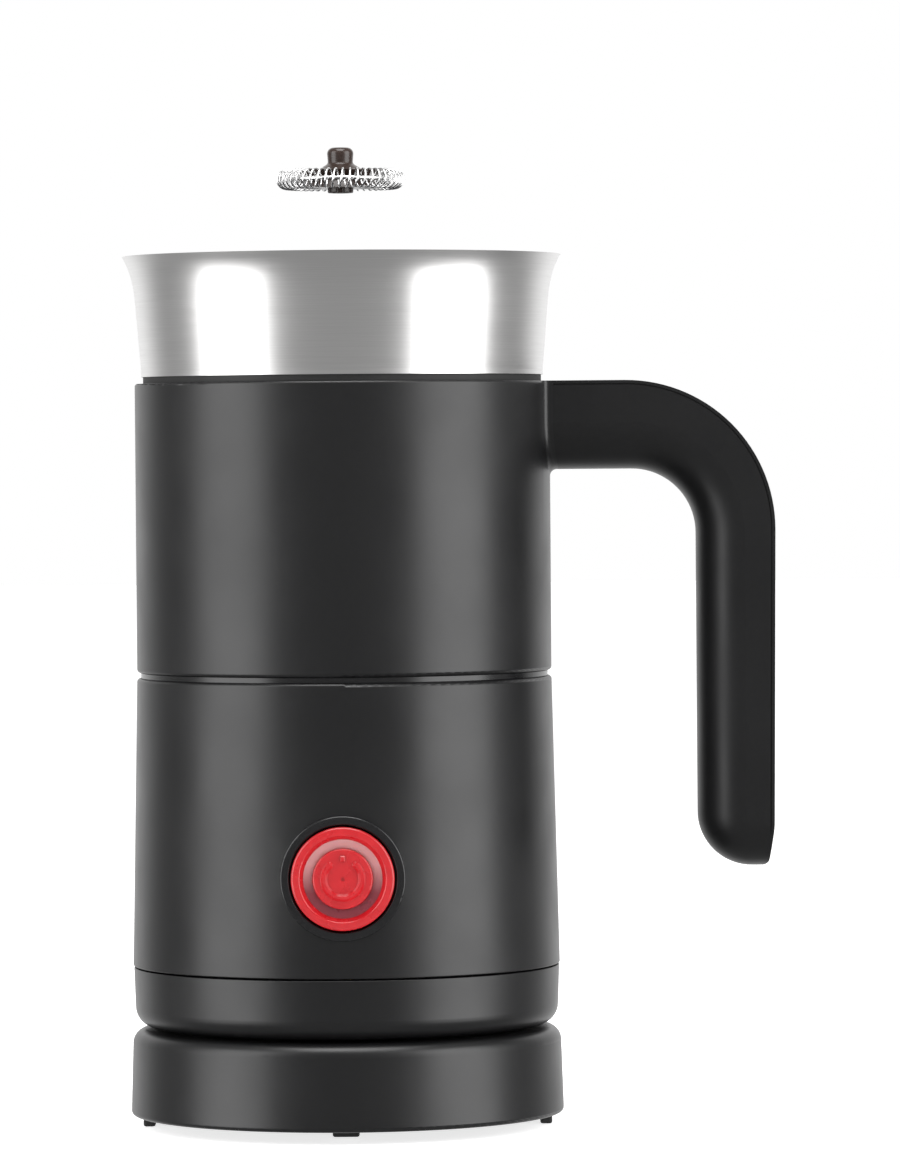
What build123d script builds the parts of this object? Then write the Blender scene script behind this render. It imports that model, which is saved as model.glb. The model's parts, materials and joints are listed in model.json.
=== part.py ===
from build123d import *
from build123d.topology import SkipClean
from math import cos, radians, sin, sqrt
import os

# Cordless electric milk frother: power base, heated jug with handle, start button and spring whisk.
#
# Millimetres. The origin is on the jug's axis in the plane of the feet, +Z is up,
# the start button faces -Y and the handle points along +X.
# Each function returns one piece, and every piece is written to its own STEP file.

# ---------------------------------------------------------------- overall sizes
BODY_RADIUS = 47.0            # upper casing, outside
CASING_FOOT_RADIUS = BODY_RADIUS + 1.4  # lower casing where it meets the skirt
BASE_RADIUS = BODY_RADIUS + 2.1  # power base, outside
RIM_RADIUS = BODY_RADIUS + 2.7  # pouring rim of the jug
HANDLE_REACH = BODY_RADIUS + 50.8  # from the axis to the outside of the grip

# ---------------------------------------------------------------- heights
RIM_Z = 197.1                 # pouring rim, above the feet
BASE_UNDER_Z = 2.8            # underside of the base, above the feet plane
BASE_TOP_Z = 22.3
SKIRT_BOTTOM_Z = 22.8
LOWER_SEAM_Z = 36.5           # between skirt and lower casing
JOINT_Z = 102.4               # middle of the groove between the two casings
CASING_TOP_Z = RIM_Z - 28.7
COLLAR_BOTTOM_Z = CASING_TOP_Z + 1.5
JUG_FLOOR_Z = 104.0           # inside of the jug
WHISK_HELD_Z = RIM_Z + 17.3   # middle of the whisk's coil, held above the jug

# ---------------------------------------------------------------- walls and gaps
CASING_WALL = 2.4
SHEET = 0.8                   # stainless sheet of jug and collar
SEAM = 0.35                   # shadow line between skirt and lower casing
JOINT_GROOVE = 1.2
CASING_EDGE = 0.6             # rounding of the upper casing's top edge
RUNNING = 0.05                # radial clearance of a shaft in its bore
SNUG = 0.05                   # clearance of a fixed piece in its seat
FREE = 0.4                    # clearance between pieces that move apart

# ---------------------------------------------------------------- power base
BASE_WALL = 2.2
BASE_SHOULDER = 3.2           # rounding of the base's top edge
BASE_PLATE_THICK = 2.0
FOOT_WIDTH = 6.0
FOOT_DEPTH = 2.7
FOOT_SEAT = 1.2               # how far a foot is sunk in the base plate
SIDE_FOOT_RADIUS = BASE_RADIUS - 4.1
FRONT_FOOT_RADIUS = 28.5
SCREW_RADIUS = 1.5
SCREW_HEAD_RADIUS = 2.8
SCREW_HEAD = 1.2
SCREW_RECESS_ROOF = 0.7       # plastic left above a sunk screw head
BASE_SCREW_CIRCLE = 36.0
BASE_SCREW_ANGLES = (30, 150, 270)
BASE_SCREW_LENGTH = 8.0
CORD_RADIUS = 3.3             # bore of the cord gland
GLAND_RADIUS = 5.2
GLAND_Z = 11.5
GLAND_LENGTH = 9.0
GLAND_PROUD = 1.3             # how far the gland stands out of the wall
TERMINAL_Y = 27.5
TERMINAL_Z = 11.0
TERMINAL_SIZE = (16.0, 9.0, 9.0)
TERMINAL_PITCH = 9.0

# ---------------------------------------------------------------- rotary connector
POST_RADIUS = 13.0
POST_BOTTOM_Z = 9.0
POST_TOP_Z = 29.5
POST_FLANGE_RADIUS = 20.0
POST_FLANGE_THICK = 2.2
PIN_RADIUS = 1.9
CONTACT_TUBE_BORE = 2.3
CONTACT_TUBE_RADIUS = 3.1
SLOT_INNER_RADIUS = 7.0
SLOT_OUTER_RADIUS = 9.8
CONTACT_RING_THICK = 0.7
BLADE_RING_RADIUS = 9.1       # outside of the jug's contact ring
BLADE_RING_THICK = 0.8
SWIVEL_THICK = 3.2            # radial thickness of the swivel ring
SWIVEL_HEIGHT = 4.6
SOCKET_CLEARANCE = 0.9        # swivel ring to the jug's socket
SOCKET_WALL = 2.0
SOCKET_FLANGE = 5.5

# ---------------------------------------------------------------- skirt and lower casing
SKIRT_ROUND = 4.6
SKIRT_FLOOR = 2.3
BODY_SCREW_CIRCLE = 37.0
BODY_SCREW_ANGLES = (90, 210, 330)
BODY_SCREW_LENGTH = 9.0
BOSS_RADIUS = 3.6
BOSS_HEIGHT = 14.0

# ---------------------------------------------------------------- start button, on the front
BUTTON_Z = 58.8
BEZEL_RADIUS = 13.85
BEZEL_PROUD = 0.6
BEZEL_BODY_RADIUS = 13.0
BEZEL_DEPTH = 11.0
GUIDE_THICK = 1.2             # plate across the bezel's back that guides the plunger
CAP_RADIUS = 11.45
CAP_PROUD = 1.0               # cap front, in front of the bezel
CAP_THICK = 4.4
CAP_EDGE = 0.7
GROOVE_OUTER = 8.75
GROOVE_INNER = 6.7
GROOVE_DEPTH = 2.4
GROOVE_SLOPE = 0.9            # width of the groove's sloping outer side
PAD_DROP = 0.6                # pad, behind the cap's front
DIMPLE_RADIUS = 0.45
LIGHT_RING_THICK = 1.1
SYMBOL_RADIUS = 4.2
SYMBOL_STROKE = 1.1
SYMBOL_SLOPE = 0.25
SYMBOL_RAISE = 0.6
SYMBOL_GAP = 43               # half the opening of the symbol's arc, in degrees
PRESS_TRAVEL = 1.2
PLUNGER_RADIUS = 2.2
SPRING_RADIUS = 3.6
SPRING_WIRE = 0.35
SPRING_TURNS = 5
BOARD_THICK = 1.6
FRONT_BOARD_WIDTH = 30.0
FRONT_BOARD_HEIGHT = 26.0
SWITCH_SIZE = 6.0
SWITCH_HEIGHT = 3.4

# ---------------------------------------------------------------- drive and heater
MOTOR_RADIUS = 13.5
MOTOR_LENGTH = 26.0
MOTOR_BOSS_RADIUS = 5.0
MOTOR_BOSS = 1.5
SHAFT_RADIUS = 1.5
BUSH_RADIUS = 3.2
MOTOR_SCREW_CIRCLE = 8.5
MOTOR_SCREW_RADIUS = 1.15
BOARD_SCREW_RADIUS = 1.15
CARRIER_RADIUS = 14.5
CARRIER_THICK = 5.0
CARRIER_GAP = 0.8             # magnet carrier to the jug floor
MAGNET_RADIUS = 3.0
MAGNET_THICK = 2.6
MAGNET_CIRCLE = 9.5
MAGNET_COUNT = 4
HEATER_RADIUS = BODY_RADIUS - 6.0
HEATER_BORE = 17.5
HEATER_THICK = 3.8
ELEMENT_CIRCLE = 29.0
ELEMENT_RADIUS = 3.1
SHIELD_RADIUS = BODY_RADIUS - 4.0
SHIELD_GAP = 2.2              # heating element to the shield below it
SHIELD_RIM = 6.0
CHASSIS_THICK = 2.6
CONTROL_BOARD_RADIUS = 38.0
CONTROL_BOARD_Z = 44.0
BOARD_SCREW_CIRCLE = 33.0
BOARD_SCREW_ANGLES = (50, 130, 230, 310)
BOARD_POST_RADIUS = 3.2
THERMOSTAT_RADIUS = 4.0
THERMOSTAT_HEIGHT = 5.5
SENSOR_CIRCLE = 21.7          # thermostat and fuse, between bore and element
FUSE_RADIUS = 1.9
FUSE_LENGTH = 9.0
CAPACITOR_RADIUS = 5.0
CAPACITOR_HEIGHT = 12.5
CAPACITOR_PLACE = (22.0, 10.0)
RELAY_SIZE = (12.0, 17.0, 12.0)
RELAY_PLACE = (-23.0, 9.0)

# ---------------------------------------------------------------- jug
JUG_RADIUS = BODY_RADIUS - 4.4  # inside
JUG_CORNER = 6.0
SPINDLE_RADIUS = 1.25
SPINDLE_HEIGHT = 5.4
SPINDLE_FOOT_RADIUS = 3.0
SPINDLE_FOOT = 0.9
COLLAR_FOOT_RADIUS = BODY_RADIUS - 1.6
COLLAR_FLARE_Z = RIM_Z - 10.1  # where the collar starts to flare
COLLAR_FLARE_RADIUS = BODY_RADIUS - 0.2
MOUTH_Z = RIM_Z - 21.1        # where the jug's mouth starts to flare
RIM_SLOPE = 0.62              # outward lean of collar and mouth at the rim
MOUTH_GAP = 0.06              # between the mouth and the collar at the rim
GASKET_RADIUS = BODY_RADIUS - 1.9
LEVEL_MARKS = (128.0, 150.0, 172.0)
LEVEL_MARK_ARC = 26           # degrees

# ---------------------------------------------------------------- handle
HANDLE_WIDTH = 22.6
ARM_UNDER_Z = CASING_TOP_Z - 20.0
GRIP_INNER = HANDLE_REACH - 17.9  # inside of the grip, from the axis
HANDLE_BOTTOM_Z = 58.3
HANDLE_OUTER_BEND = 33.7
HANDLE_INNER_BEND = 14.5
HANDLE_TIP_BEND = 12.2
HANDLE_TIP_SLOPE = 1.2        # how far the tip leans in further
HANDLE_TIP_LENGTH = 9.0
HANDLE_LEAN = 0.9             # the grip's outside comes in by this much from bend to tip
GRIP_ROUND = 10.6             # rounding of the grip's inner side
GRIP_WALL = 2.6
COVER_THICK = 1.0
COVER_TIP_ROUND = 1.8         # blunt corner at the handle's tip
COVER_SEAM = 0.3              # groove between cover and grip
COVER_SEAM_DEPTH = 0.5
ROOT_STUB = 1.9               # how far the root stands out of the casing
ROOT_FILLET = 1.5
HANDLE_SCREW_ZS = (CASING_TOP_Z - 13.9, CASING_TOP_Z - 5.9)

# ---------------------------------------------------------------- whisk
COIL_CIRCLE = 12.3            # middle of the coil's wire tube
COIL_RADIUS = 2.3
COIL_WIRE = 0.5
CORE_WIRE_RADIUS = 0.45
SPOKE_RADIUS = 0.25
SPOKE_COUNT = 4
HUB_RADIUS = 9.6
HUB_THICK = 4.0
KNOB_RADIUS = 3.1
KNOB_HEIGHT = 7.2             # above the middle of the coil
FOOT_BOSS_RADIUS = 2.9
FOOT_BOSS = 3.1               # below the middle of the coil
FOOT_RIBS = 12
WHISK_BUSH_RADIUS = 2.1
WHISK_MAGNET_RADIUS = 1.9
WHISK_MAGNET_THICK = 2.0
WHISK_MAGNET_CIRCLE = 6.2


# ---------------------------------------------------------------- helpers
def outline(corners, plane=Plane.XZ):
    """A closed face through (u, v) or (u, v, corner radius) corners."""
    points = [corner[:2] for corner in corners]
    radii = [corner[2] if len(corner) > 2 else 0 for corner in corners]
    return plane * make_face(FilletPolyline(*points, radius=radii, close=True))


def turned(corners, arc=360):
    """A piece turned about Z from its (radius, height) corners."""
    return revolve(outline(corners), Axis.Z, arc)


def tube(outer, inner, bottom, top):
    """A plain ring between two heights, or a disc if inner is 0."""
    return turned([(inner, bottom), (outer, bottom), (outer, top), (inner, top)])


def peg(radius, bottom, top, x=0, y=0):
    """An upright round bar."""
    return Pos(x, y, (bottom + top) / 2) * Cylinder(radius, top - bottom)


def around(angle, radius):
    """The x, y place at an angle on a circle about the axis."""
    return radius * cos(radians(angle)), radius * sin(radians(angle))


def together(solids):
    """Several loose solids of one kind as one piece."""
    return Compound(children=list(solids))


def facing_front(piece):
    """Turn a piece made about +Z so that it faces the front at the button's height."""
    return Pos(0, 0, BUTTON_Z) * Rotation(X=90) * piece


def casing_radius(z):
    """Outside radius of the tapered lower casing at a height."""
    share = (z - CASING_BOTTOM_Z) / (LOWER_TOP_Z - CASING_BOTTOM_Z)
    return CASING_FOOT_RADIUS + (BODY_RADIUS - CASING_FOOT_RADIUS) * share


def screw(x, y, head_z, length):
    """A pan-head screw whose head is below head_z and whose shank points up."""
    body = peg(SCREW_RADIUS, head_z, head_z + length, x, y)
    head = peg(SCREW_HEAD_RADIUS, head_z - SCREW_HEAD, head_z, x, y)
    slot = Pos(x, y, head_z - SCREW_HEAD) * Box(SCREW_HEAD_RADIUS * 1.4, 0.7, 1.2)
    cross = Pos(x, y, head_z - SCREW_HEAD) * Box(0.7, SCREW_HEAD_RADIUS * 1.4, 1.2)
    return body + head - slot - cross


# ---------------------------------------------------------------- power base
PLATE_TOP_Z = BASE_UNDER_Z + BASE_PLATE_THICK
PLATE_RADIUS = BASE_RADIUS - BASE_WALL - SNUG
BASE_HEAD_Z = PLATE_TOP_Z - SCREW_RECESS_ROOF
POST_FLANGE_Z = BASE_TOP_Z - BASE_WALL - POST_FLANGE_THICK - SNUG
SCREW_PASS_RADIUS = SCREW_RADIUS + 0.2
FEET = {
    "base_foot_front": (-90, FRONT_FOOT_RADIUS),
    "base_foot_rear": (90, FRONT_FOOT_RADIUS),
    "base_foot_right": (0, SIDE_FOOT_RADIUS),
    "base_foot_left": (180, SIDE_FOOT_RADIUS),
}


def foot_block(angle, radius, bottom, top, grow=0.0):
    """A foot, or its seat when it is grown by a clearance."""
    height = top - bottom
    block = Box(FOOT_DEPTH + 2 * grow, FOOT_WIDTH + 2 * grow, height)
    block = fillet(block.edges().filter_by(Axis.Z), 0.7)
    return Rotation(Z=angle) * Pos(radius, 0, (top + bottom) / 2) * block


def base_foot(angle, radius):
    foot = foot_block(angle, radius, 0, BASE_UNDER_Z + FOOT_SEAT)
    return fillet(foot.faces().sort_by(Axis.Z)[0].edges(), 0.5)


def base_shell():
    inner = BASE_RADIUS - BASE_WALL
    opening = POST_RADIUS + FREE + 0.5
    shell = turned([
        (inner, BASE_UNDER_Z), (BASE_RADIUS, BASE_UNDER_Z, 1.0),
        (BASE_RADIUS - 0.6, BASE_TOP_Z, BASE_SHOULDER), (opening, BASE_TOP_Z),
        (opening, BASE_TOP_Z - BASE_WALL), (inner, BASE_TOP_Z - BASE_WALL),
    ])
    for angle in BASE_SCREW_ANGLES:
        x, y = around(angle, BASE_SCREW_CIRCLE)
        shell += peg(BOSS_RADIUS, PLATE_TOP_Z, BASE_TOP_Z - BASE_WALL / 2, x, y)
        shell -= peg(SCREW_RADIUS, PLATE_TOP_Z, PLATE_TOP_Z + 8.6, x, y)
    gland_hole = Pos(0, BASE_RADIUS, GLAND_Z) * Rotation(X=90) * Cylinder(GLAND_RADIUS + SNUG, 12)
    return shell - gland_hole


def base_plate():
    plate = tube(PLATE_RADIUS, 0, BASE_UNDER_Z, PLATE_TOP_Z)
    plate += tube(SLOT_OUTER_RADIUS, SLOT_INNER_RADIUS, PLATE_TOP_Z, POST_BOTTOM_Z - SNUG)
    for angle, radius in FEET.values():
        plate -= foot_block(angle, radius, BASE_UNDER_Z - 1, BASE_UNDER_Z + FOOT_SEAT + SNUG, SNUG)
    for angle in BASE_SCREW_ANGLES:
        x, y = around(angle, BASE_SCREW_CIRCLE)
        plate -= peg(SCREW_PASS_RADIUS, BASE_UNDER_Z - 1, PLATE_TOP_Z + 1, x, y)
        plate -= peg(SCREW_HEAD_RADIUS + 0.2, BASE_UNDER_Z - 1, BASE_HEAD_Z, x, y)
    return plate


def base_screws():
    """Three screws through the base plate into the shell's bosses."""
    places = [around(angle, BASE_SCREW_CIRCLE) for angle in BASE_SCREW_ANGLES]
    return together(screw(x, y, BASE_HEAD_Z, BASE_SCREW_LENGTH) for x, y in places)


def cord_gland():
    """Round bushing through the rear wall, which the supply cord would pass through."""
    outside = BASE_RADIUS + GLAND_PROUD
    gland = turned([
        (CORD_RADIUS, 0), (GLAND_RADIUS, 0, 0.3), (GLAND_RADIUS, 4.6),
        (GLAND_RADIUS + 1.1, 4.6), (GLAND_RADIUS + 1.1, GLAND_LENGTH), (CORD_RADIUS, GLAND_LENGTH),
    ])
    return Pos(0, outside, GLAND_Z) * Rotation(X=90) * gland


def terminal_block():
    """Block that joins the supply cord to the connector's leads."""
    width, depth, height = TERMINAL_SIZE
    block = Box(width, depth, height)
    block = fillet(block.edges().filter_by(Axis.Z), 0.8)
    for side in (-1, 1):
        x = side * TERMINAL_PITCH / 2
        block -= Pos(x, 0, height / 4) * Cylinder(1.6, height / 2 + 0.2)
        block -= Pos(x, 0, -height / 5) * Rotation(X=90) * Cylinder(1.3, depth + 1)
    return Pos(0, TERMINAL_Y, TERMINAL_Z) * block


def base_connector():
    """Fixed half of the 360 degree connector: a stepped post with a bore and a ring slot."""
    bottom = POST_BOTTOM_Z
    post = turned([
        (CONTACT_TUBE_RADIUS + SNUG, bottom), (POST_RADIUS, bottom), (POST_RADIUS, POST_FLANGE_Z),
        (POST_FLANGE_RADIUS, POST_FLANGE_Z), (POST_FLANGE_RADIUS, POST_FLANGE_Z + POST_FLANGE_THICK),
        (POST_RADIUS, POST_FLANGE_Z + POST_FLANGE_THICK), (POST_RADIUS, POST_TOP_Z, 1.2),
        (SLOT_OUTER_RADIUS, POST_TOP_Z), (SLOT_OUTER_RADIUS, bottom + 4),
        (SLOT_INNER_RADIUS, bottom + 4), (SLOT_INNER_RADIUS, POST_TOP_Z),
        (CONTACT_TUBE_RADIUS + SNUG, POST_TOP_Z),
    ])
    return post


def contact_tube():
    return tube(CONTACT_TUBE_RADIUS, CONTACT_TUBE_BORE, POST_BOTTOM_Z - 1.5, POST_TOP_Z - 1.5)


def contact_ring():
    inner = SLOT_INNER_RADIUS + SNUG
    return tube(inner + CONTACT_RING_THICK, inner, POST_BOTTOM_Z + 4 + SNUG, POST_TOP_Z - 1.5)


def swivel_ring():
    """Ring on the connector post that turns with the jug."""
    inner = POST_RADIUS + RUNNING
    outer = inner + SWIVEL_THICK
    bottom = BASE_TOP_Z + 0.3
    return turned([
        (inner, bottom), (outer, bottom, 0.4), (outer, bottom + SWIVEL_HEIGHT, 0.8),
        (inner, bottom + SWIVEL_HEIGHT),
    ])


# ---------------------------------------------------------------- jug bottom: skirt and socket
SWIVEL_RADIUS = POST_RADIUS + RUNNING + SWIVEL_THICK
SOCKET_BORE = SWIVEL_RADIUS + SOCKET_CLEARANCE
SOCKET_RADIUS = SOCKET_BORE + SOCKET_WALL
SOCKET_ROOF_Z = POST_TOP_Z + FREE + 0.6
SOCKET_ROOF = 2.4
SKIRT_FLOOR_Z = SKIRT_BOTTOM_Z + SKIRT_FLOOR
SKIRT_HEAD_Z = SKIRT_FLOOR_Z - SCREW_RECESS_ROOF
SKIRT_TOP_RADIUS = CASING_FOOT_RADIUS - 0.15
SKIRT_FOOT_RADIUS = CASING_FOOT_RADIUS - 0.6


def skirt():
    wall = CASING_WALL
    shell = turned([
        (SOCKET_BORE, SKIRT_BOTTOM_Z, 0.5), (SKIRT_FOOT_RADIUS, SKIRT_BOTTOM_Z, SKIRT_ROUND),
        (SKIRT_TOP_RADIUS, LOWER_SEAM_Z - SEAM / 2, 0.25),
        (SKIRT_TOP_RADIUS - wall, LOWER_SEAM_Z - SEAM / 2),
        (SKIRT_FOOT_RADIUS - wall, SKIRT_FLOOR_Z, 2.0), (SOCKET_BORE, SKIRT_FLOOR_Z),
    ])
    for angle in BODY_SCREW_ANGLES:
        x, y = around(angle, BODY_SCREW_CIRCLE)
        shell -= peg(SCREW_PASS_RADIUS, SKIRT_BOTTOM_Z - 1, SKIRT_FLOOR_Z + 1, x, y)
        shell -= peg(SCREW_HEAD_RADIUS + 0.2, SKIRT_BOTTOM_Z - 1, SKIRT_HEAD_Z, x, y)
    return shell


def body_screws():
    """Three screws through the skirt into the lower casing's bosses."""
    places = [around(angle, BODY_SCREW_CIRCLE) for angle in BODY_SCREW_ANGLES]
    return together(screw(x, y, SKIRT_HEAD_Z, BODY_SCREW_LENGTH) for x, y in places)


def coupler_socket():
    """Inverted cup in the jug's bottom that drops over the connector post."""
    pin_seat = PIN_RADIUS + SNUG
    ring_out = BLADE_RING_RADIUS + SNUG
    ring_in = BLADE_RING_RADIUS - BLADE_RING_THICK - SNUG
    top = SOCKET_ROOF_Z + SOCKET_ROOF
    cup = turned([
        (SOCKET_BORE, SKIRT_FLOOR_Z + SNUG), (SOCKET_RADIUS + SOCKET_FLANGE, SKIRT_FLOOR_Z + SNUG),
        (SOCKET_RADIUS + SOCKET_FLANGE, SKIRT_FLOOR_Z + 1.8), (SOCKET_RADIUS, SKIRT_FLOOR_Z + 1.8),
        (SOCKET_RADIUS, top, 1.5), (pin_seat, top), (pin_seat, SOCKET_ROOF_Z),
        (SOCKET_BORE, SOCKET_ROOF_Z),
    ])
    return cup - tube(ring_out, ring_in, SOCKET_ROOF_Z - 1, SOCKET_ROOF_Z + 1.5)


def coupler_pin():
    return turned([
        (0, SKIRT_BOTTOM_Z + 0.4), (PIN_RADIUS, SKIRT_BOTTOM_Z + 0.4, 0.9),
        (PIN_RADIUS, SOCKET_ROOF_Z + SOCKET_ROOF + 3.5), (0, SOCKET_ROOF_Z + SOCKET_ROOF + 3.5),
    ])


def coupler_ring():
    outer = BLADE_RING_RADIUS
    return tube(outer, outer - BLADE_RING_THICK, SKIRT_BOTTOM_Z + 0.2, SOCKET_ROOF_Z + 1.4)


# ---------------------------------------------------------------- lower casing and what is in it
CASING_BOTTOM_Z = LOWER_SEAM_Z + SEAM / 2
LOWER_TOP_Z = JOINT_Z - JOINT_GROOVE / 2
UPPER_BOTTOM_Z = JOINT_Z + JOINT_GROOVE / 2
CASING_BORE_TOP = BODY_RADIUS - CASING_WALL
RING_SPIGOT = 4.0             # how far the joint ring reaches into each casing
RING_BOTTOM_Z = LOWER_TOP_Z - RING_SPIGOT
RING_TOP_Z = UPPER_BOTTOM_Z + RING_SPIGOT


def bezel_seat():
    """The hole that the button's bezel passes through."""
    return facing_front(peg(BEZEL_BODY_RADIUS + SNUG, BODY_RADIUS - 12, BODY_RADIUS + 12))


def lower_casing():
    bottom = CASING_BOTTOM_Z
    wall = CASING_WALL
    shell = turned([
        (CASING_FOOT_RADIUS - wall, bottom), (CASING_FOOT_RADIUS, bottom, 0.25),
        (BODY_RADIUS, LOWER_TOP_Z, 0.9), (BODY_RADIUS - wall, LOWER_TOP_Z),
    ])
    shell -= bezel_seat()
    for angle in BODY_SCREW_ANGLES:
        x, y = around(angle, BODY_SCREW_CIRCLE)
        post = peg(BOSS_RADIUS, SKIRT_FLOOR_Z + SNUG, bottom + BOSS_HEIGHT, x, y)
        rib_x, rib_y = around(angle, (BODY_SCREW_CIRCLE + CASING_FOOT_RADIUS - 1) / 2)
        reach = CASING_FOOT_RADIUS - 1 - BODY_SCREW_CIRCLE
        rib = Pos(rib_x, rib_y, bottom + BOSS_HEIGHT / 2) * Rotation(Z=angle) * Box(reach, 2.0, BOSS_HEIGHT)
        shell += post + rib
        shell -= peg(SCREW_RADIUS, SKIRT_FLOOR_Z - 1, SKIRT_FLOOR_Z + 10, x, y)
    return shell


def casing_ring():
    """Inner ring that joins the two casings and shows at the bottom of the groove."""
    inner = JUG_RADIUS + SHEET + 0.15
    seat = CASING_BORE_TOP - SNUG
    return turned([
        (inner, RING_BOTTOM_Z), (seat, RING_BOTTOM_Z), (seat, LOWER_TOP_Z + SNUG),
        (BODY_RADIUS - 0.9, LOWER_TOP_Z + SNUG), (BODY_RADIUS - 0.9, UPPER_BOTTOM_Z - SNUG),
        (seat, UPPER_BOTTOM_Z - SNUG), (seat, RING_TOP_Z), (inner, RING_TOP_Z),
    ])


# heights of the drive and heater stack, worked down from the jug's floor
FLOOR_UNDER_Z = JUG_FLOOR_Z - SHEET
HEATER_TOP_Z = FLOOR_UNDER_Z
HEATER_UNDER_Z = HEATER_TOP_Z - HEATER_THICK
ELEMENT_Z = HEATER_UNDER_Z - ELEMENT_RADIUS
SHIELD_Z = ELEMENT_Z - ELEMENT_RADIUS - SHIELD_GAP
CARRIER_TOP_Z = FLOOR_UNDER_Z - CARRIER_GAP
CARRIER_UNDER_Z = CARRIER_TOP_Z - CARRIER_THICK
CHASSIS_TOP_Z = SHIELD_Z - SHEET - 1.0
CHASSIS_UNDER_Z = CHASSIS_TOP_Z - CHASSIS_THICK
MOTOR_TOP_Z = CHASSIS_UNDER_Z - 1.6
MOTOR_UNDER_Z = MOTOR_TOP_Z - MOTOR_LENGTH


def heater_plate():
    return turned([
        (HEATER_BORE, HEATER_UNDER_Z), (HEATER_RADIUS, HEATER_UNDER_Z, 0.8),
        (HEATER_RADIUS, HEATER_TOP_Z, 0.8), (HEATER_BORE, HEATER_TOP_Z),
    ])


def heating_element():
    """Sheathed tube bent to a ring, open at the rear, with a pin at each end."""
    half_gap = 18
    ring = Torus(ELEMENT_CIRCLE, ELEMENT_RADIUS - SNUG)
    wedge = Pos(0, ELEMENT_CIRCLE, 0) * Box(2 * ELEMENT_CIRCLE * sin(radians(half_gap)), 30, 20)
    piece = Pos(0, 0, ELEMENT_Z) * (ring - wedge)
    x = ELEMENT_CIRCLE * sin(radians(half_gap))
    y = sqrt(ELEMENT_CIRCLE ** 2 - x ** 2)
    for side in (-1, 1):
        piece += Pos(side * (x - 2.5), y, ELEMENT_Z) * Rotation(Y=90) * Cylinder(1.1, 7)
    return piece


def thermostat():
    """Disc thermostat pressed to the underside of the heater plate."""
    bottom = HEATER_UNDER_Z - THERMOSTAT_HEIGHT
    body = peg(THERMOSTAT_RADIUS, bottom, HEATER_UNDER_Z, 0, -SENSOR_CIRCLE)
    for side in (-1, 1):
        x = side * THERMOSTAT_RADIUS * 0.9
        body += Pos(x, -SENSOR_CIRCLE, bottom + 1.2) * Box(3.4, 2.0, 0.6)
    return body - peg(1.5, bottom - 1, bottom + 0.8, 0, -SENSOR_CIRCLE)


def thermal_fuse():
    """Axial fuse clipped under the heater plate, with a lead at each end."""
    body = Cylinder(FUSE_RADIUS, FUSE_LENGTH) + Cylinder(0.5, FUSE_LENGTH + 5)
    height = HEATER_UNDER_Z - FUSE_RADIUS - SNUG
    return Pos(0, SENSOR_CIRCLE, height) * Rotation(Y=90) * body


def heat_shield():
    """Thin metal dish under the heater that keeps its heat off the motor."""
    return turned([
        (CARRIER_RADIUS + 1.2, SHIELD_Z - SHEET), (SHIELD_RADIUS, SHIELD_Z - SHEET, 2.0),
        (SHIELD_RADIUS, SHIELD_Z + SHIELD_RIM), (SHIELD_RADIUS - SHEET, SHIELD_Z + SHIELD_RIM),
        (SHIELD_RADIUS - SHEET, SHIELD_Z, 1.2), (CARRIER_RADIUS + 1.2, SHIELD_Z),
    ])


def chassis():
    """Round frame inside the lower casing that carries the motor and both boards."""
    outer = casing_radius(RING_BOTTOM_Z) - CASING_WALL - 0.2
    centre_bore = MOTOR_BOSS_RADIUS + 0.6
    frame = tube(outer, centre_bore, CHASSIS_UNDER_Z, CHASSIS_TOP_Z)
    frame += tube(outer, SHIELD_RADIUS + 0.15, CHASSIS_UNDER_Z, RING_BOTTOM_Z - SNUG)
    frame += tube(CARRIER_RADIUS + 3.6, CARRIER_RADIUS + 1.6, CHASSIS_UNDER_Z, SHIELD_Z - SHEET - SNUG)
    for angle in BOARD_SCREW_ANGLES:
        x, y = around(angle, BOARD_SCREW_CIRCLE)
        board_top = CONTROL_BOARD_Z + BOARD_THICK
        frame += peg(BOARD_POST_RADIUS, board_top, CHASSIS_UNDER_Z + 0.5, x, y)
        frame -= peg(BOARD_SCREW_RADIUS, board_top - 1, board_top + 9, x, y)
    for side in (-1, 1):
        x = side * MOTOR_SCREW_CIRCLE
        frame -= peg(MOTOR_SCREW_RADIUS + 0.25, CHASSIS_UNDER_Z - 1, CHASSIS_TOP_Z + 1, x)
    return frame - peg(3.0, CHASSIS_UNDER_Z - 1, CHASSIS_TOP_Z + 1, 0, ELEMENT_CIRCLE)


# ---------------------------------------------------------------- motor
def motor_can():
    bottom = MOTOR_UNDER_Z + 2.4
    can = turned([
        (0, bottom), (MOTOR_RADIUS, bottom), (MOTOR_RADIUS, MOTOR_TOP_Z, 1.5),
        (MOTOR_BOSS_RADIUS, MOTOR_TOP_Z), (MOTOR_BOSS_RADIUS, MOTOR_TOP_Z + MOTOR_BOSS),
        (BUSH_RADIUS + SNUG, MOTOR_TOP_Z + MOTOR_BOSS), (BUSH_RADIUS + SNUG, MOTOR_TOP_Z - 5),
        (SHAFT_RADIUS + 0.6, MOTOR_TOP_Z - 5), (SHAFT_RADIUS + 0.6, bottom + 3), (0, bottom + 3),
    ])
    for side in (-1, 1):
        can -= peg(MOTOR_SCREW_RADIUS + SNUG, MOTOR_TOP_Z - 4, MOTOR_TOP_Z + 1, side * MOTOR_SCREW_CIRCLE)
    return can


def motor_end_cap():
    cap = turned([
        (0, MOTOR_UNDER_Z), (MOTOR_RADIUS - 0.6, MOTOR_UNDER_Z, 0.6),
        (MOTOR_RADIUS - 0.6, MOTOR_UNDER_Z + 2.35), (0, MOTOR_UNDER_Z + 2.35),
    ])
    for side in (-1, 1):
        cap += Pos(side * 9.0, 0, MOTOR_UNDER_Z - 1.6) * Box(0.6, 3.0, 4.0)
    return cap


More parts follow.
